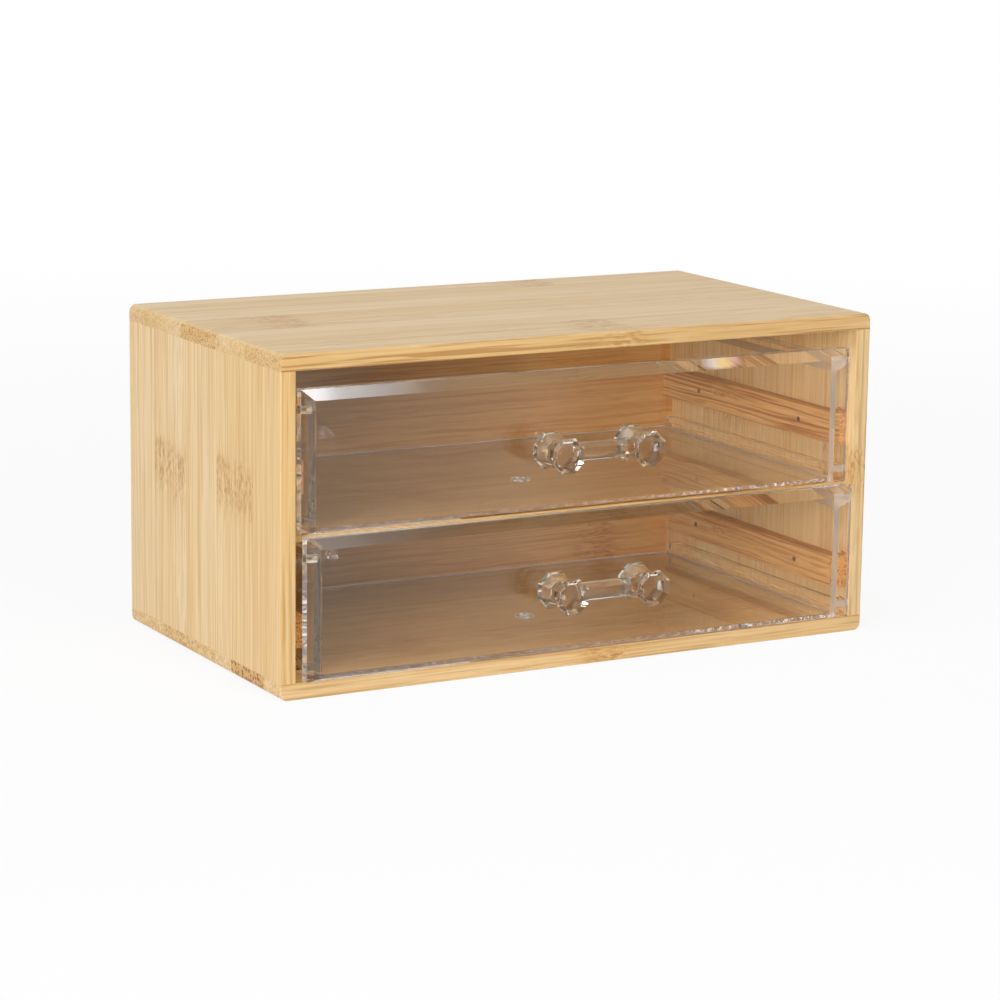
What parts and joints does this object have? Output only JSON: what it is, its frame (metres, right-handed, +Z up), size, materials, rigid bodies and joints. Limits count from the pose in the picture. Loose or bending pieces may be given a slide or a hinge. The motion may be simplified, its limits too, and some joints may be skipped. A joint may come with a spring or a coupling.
{
  "type": "tabletop organizer box with drawers",
  "caption": "Low bamboo tabletop box, open at the front, holding clear plastic drawers one above the other, each with a bevelled front and a faceted bar handle.",
  "frame": {"origin": "middle of the box's underside, on the surface it stands on; drawers and handles stand out in front", "axes": "+Z up, +X along the width to the right as seen from the front, -Y out of the front, the way the drawers open"},
  "size_m": [0.26, 0.1649, 0.13],
  "materials": {
    "bamboo": "pale natural bamboo, fine straight grain, satin clear lacquer",
    "bamboo_strip": "darker natural bamboo with red-brown grain lines, bare sanded",
    "dowel_wood": "bare hardwood",
    "brad_steel": "bare steel",
    "clear_tray": "clear moulded polystyrene, polished",
    "clear_front": "clear moulded polystyrene, polished, bevelled",
    "crystal_handle": "clear moulded plastic, crystal facets"
  },
  "bodies": {
    "cabinet": {"top_board": "bamboo", "bottom_board": "bamboo", "back_board": "bamboo", "middle_shelf": "bamboo", "left_side_board": "bamboo", "right_side_board": "bamboo", "lower_left_guide_strip": "bamboo_strip", "lower_right_guide_strip": "bamboo_strip", "upper_left_guide_strip": "bamboo_strip", "upper_right_guide_strip": "bamboo_strip", "top_left_dowels": "dowel_wood", "top_right_dowels": "dowel_wood", "bottom_left_dowels": "dowel_wood", "bottom_right_dowels": "dowel_wood", "lower_left_brads": "brad_steel", "lower_right_brads": "brad_steel", "upper_left_brads": "brad_steel", "upper_right_brads": "brad_steel"},
    "lower_drawer": {"lower_drawer_tray": "clear_tray", "lower_drawer_front": "clear_front", "lower_drawer_handle": "crystal_handle"},
    "upper_drawer": {"upper_drawer_tray": "clear_tray", "upper_drawer_front": "clear_front", "upper_drawer_handle": "crystal_handle"}
  },
  "joints": [
    {"name": "lower_drawer_slide", "type": "slide", "parent": "cabinet", "child": "lower_drawer", "axis": [0, -1, 0], "range_m": [-0.005, 0.095]},
    {"name": "upper_drawer_slide", "type": "slide", "parent": "cabinet", "child": "upper_drawer", "axis": [0, -1, 0], "range_m": [0, 0.1]}
  ]
}
